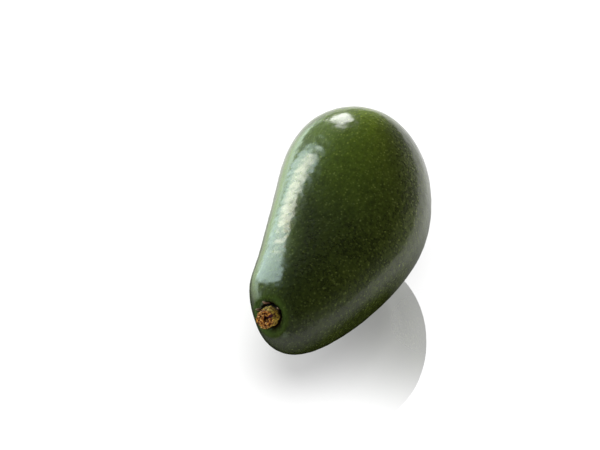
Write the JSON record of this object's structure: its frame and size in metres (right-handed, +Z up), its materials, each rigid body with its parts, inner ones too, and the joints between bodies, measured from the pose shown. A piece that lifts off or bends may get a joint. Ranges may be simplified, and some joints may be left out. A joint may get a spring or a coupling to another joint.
{
  "type": "avocado",
  "caption": "Smooth-skinned green avocado, pear-shaped, lying on its side on a small flat spot, with a woody stem stub and dried scales.",
  "frame": {"origin": "middle of the small flat spot that the fruit rests on, under its centre of mass", "axes": "+Z up, +X from the stem end to the blossom end, +Y towards the hollow side of the neck"},
  "size_m": [0.1088, 0.0646, 0.0689],
  "materials": {
    "skin": "waxy green skin, glossy, with pale pores",
    "stem_wood": "dry woody stem end, rough",
    "dried_scale": "papery dried scale, rough"
  },
  "bodies": {
    "root": {"fruit": "skin", "stem_stub": "stem_wood", "stem_scale_1": "dried_scale", "stem_scale_2": "dried_scale", "stem_scale_3": "dried_scale"}
  },
  "joints": []
}
